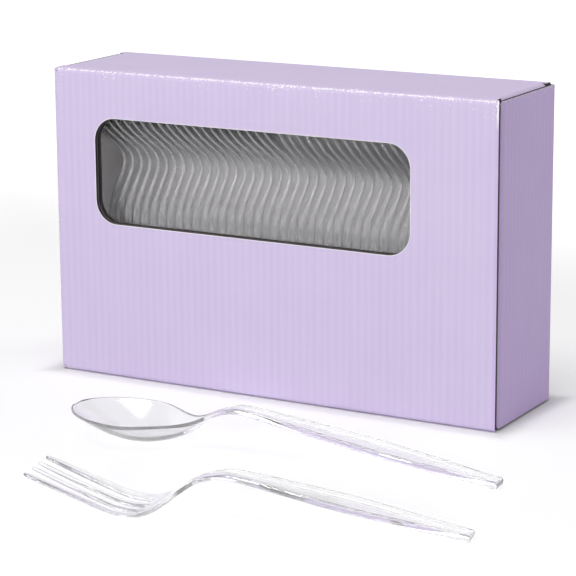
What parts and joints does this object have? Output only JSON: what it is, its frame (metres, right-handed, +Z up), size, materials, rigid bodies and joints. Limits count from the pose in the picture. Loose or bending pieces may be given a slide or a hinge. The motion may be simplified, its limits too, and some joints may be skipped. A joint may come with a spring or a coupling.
{
  "type": "plastic cutlery pack",
  "caption": "Windowed tuck-end carton of corrugated board with nested clear plastic spoons and forks standing inside, and a loose spoon and fork lying in front.",
  "frame": {"origin": "middle of the carton's bottom face, on the ground", "axes": "+X along the carton from its left end to its right end, +Y from its windowed front to its back, +Z up"},
  "size_m": [0.2581, 0.2246, 0.134],
  "materials": {
    "board": "matte printed lilac",
    "clear_plastic": "clear gloss moulding"
  },
  "bodies": {
    "carton": {"carton_sleeve": "board", "boxed_spoon_01": "clear_plastic", "boxed_spoon_02": "clear_plastic", "boxed_spoon_03": "clear_plastic", "boxed_spoon_04": "clear_plastic", "boxed_spoon_05": "clear_plastic", "boxed_spoon_06": "clear_plastic", "boxed_spoon_07": "clear_plastic", "boxed_spoon_08": "clear_plastic", "boxed_spoon_09": "clear_plastic", "boxed_spoon_10": "clear_plastic", "boxed_spoon_11": "clear_plastic", "boxed_spoon_12": "clear_plastic", "boxed_spoon_13": "clear_plastic", "boxed_spoon_14": "clear_plastic", "boxed_spoon_15": "clear_plastic", "boxed_spoon_16": "clear_plastic", "boxed_spoon_17": "clear_plastic", "boxed_spoon_18": "clear_plastic", "boxed_spoon_19": "clear_plastic", "boxed_spoon_20": "clear_plastic", "boxed_spoon_21": "clear_plastic", "boxed_fork_01": "clear_plastic", "boxed_fork_02": "clear_plastic", "boxed_fork_03": "clear_plastic", "boxed_fork_04": "clear_plastic", "boxed_fork_05": "clear_plastic", "boxed_fork_06": "clear_plastic", "boxed_fork_07": "clear_plastic", "boxed_fork_08": "clear_plastic", "boxed_fork_09": "clear_plastic", "boxed_fork_10": "clear_plastic", "boxed_fork_11": "clear_plastic", "boxed_fork_12": "clear_plastic", "boxed_fork_13": "clear_plastic", "boxed_fork_14": "clear_plastic", "boxed_fork_15": "clear_plastic", "boxed_fork_16": "clear_plastic", "boxed_fork_17": "clear_plastic", "boxed_fork_18": "clear_plastic", "boxed_fork_19": "clear_plastic", "boxed_fork_20": "clear_plastic", "boxed_fork_21": "clear_plastic", "loose_spoon": "clear_plastic", "loose_fork": "clear_plastic"},
    "right_flap": {"right_end_flap": "board"},
    "left_flap": {"left_end_flap": "board"}
  },
  "joints": [
    {"name": "right_flap_hinge", "type": "hinge", "parent": "carton", "child": "right_flap", "pos_m": [0.105, 0.028, 0.067], "axis": [0, 0, 1], "range_deg": [0, 135]},
    {"name": "left_flap_hinge", "type": "hinge", "parent": "carton", "child": "left_flap", "pos_m": [-0.105, -0.028, 0.067], "axis": [0, 0, 1], "range_deg": [0, 135]}
  ]
}
